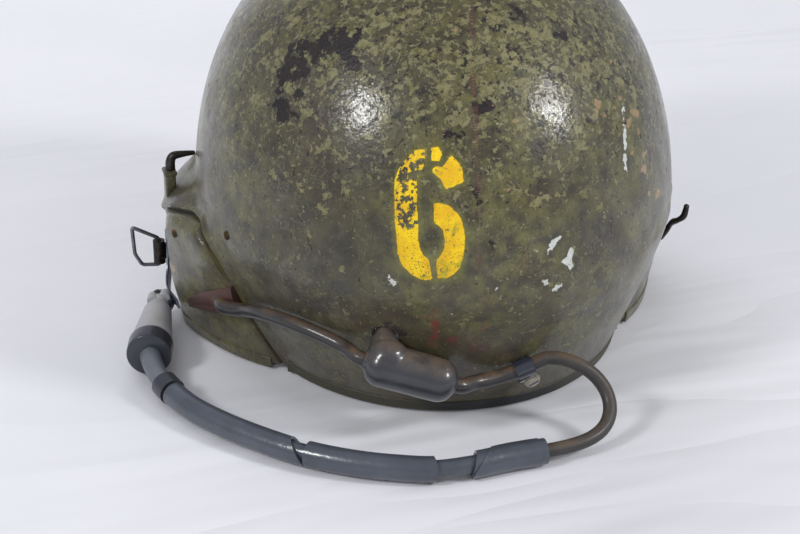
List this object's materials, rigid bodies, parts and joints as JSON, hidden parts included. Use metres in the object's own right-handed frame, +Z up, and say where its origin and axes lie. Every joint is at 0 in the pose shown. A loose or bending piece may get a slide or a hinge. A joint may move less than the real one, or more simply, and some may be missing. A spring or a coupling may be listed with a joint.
{
  "type": "tanker helmet",
  "caption": "Rigid olive crew helmet with a high dome, bulged sprung ear doors, nape cables with a moulded junction, and a short sleeved free cord ending in a plug.",
  "frame": {"origin": "on the surface the helmet rests on, under the middle of everything but the free cord", "axes": "+X the wearer's left, -Y the front, +Z up through the crown; +X is the longest extent and +Z the shortest"},
  "size_m": [0.3064, 0.3083, 0.222],
  "materials": {
    "paint": "worn olive drab paint over moulded laminate, semi-gloss",
    "binding": "dark rubber edge binding, matte",
    "leather": "dark leather over foam",
    "rubber": "grey-black moulded rubber",
    "cord_rubber": "aged brown-grey rubber jacket",
    "boot": "reddish-brown rubber boot",
    "vinyl": "slate grey-blue vinyl sleeve",
    "dark_sleeve": "dark navy plastic",
    "plug": "grey moulded plastic",
    "dark_metal": "blackened metal, worn",
    "zinc": "dull zinc-plated strip",
    "steel": "bare steel wire, dull",
    "rust": "rusty rivet head",
    "nickel": "nickel-plated screw"
  },
  "bodies": {
    "helmet": {"shell": "paint", "ear_door_left": "paint", "ear_door_right": "paint", "nape_trim": "binding", "brow_trim": "binding", "door_trim_left": "binding", "door_trim_right": "binding", "ear_pad_left": "leather", "ear_pad_right": "leather", "spring_lug_left": "paint", "spring_lug_right": "paint", "door_spring_left": "dark_metal", "door_spring_right": "dark_metal", "door_rivet_left": "rust", "door_rivet_right": "rust", "shell_rivet_left": "rust", "shell_rivet_right": "rust", "bracket_strap": "zinc", "bail_barrel": "dark_metal", "side_hook": "dark_metal", "junction": "rubber", "ear_cable": "cord_rubber", "cable_boot": "boot", "nape_cable": "rubber", "cable_clamp": "dark_metal", "clamp_screw": "nickel", "cord": "cord_rubber", "cord_core": "cord_rubber", "sleeve_1": "vinyl", "sleeve_2": "vinyl", "sleeve_3": "vinyl", "sleeve_band": "dark_sleeve", "strain_relief": "cord_rubber", "plug_collar": "dark_sleeve", "plug_body": "plug", "plug_neck": "plug", "plug_tip": "dark_metal"},
    "bail": {"wire_bail": "steel"}
  },
  "joints": [
    {"name": "bail_swing", "type": "hinge", "parent": "helmet", "child": "bail", "pos_m": [0.13056, -0.04991, 0.0304], "axis": [0, 0, 1], "range_deg": [-85, 85]}
  ]
}
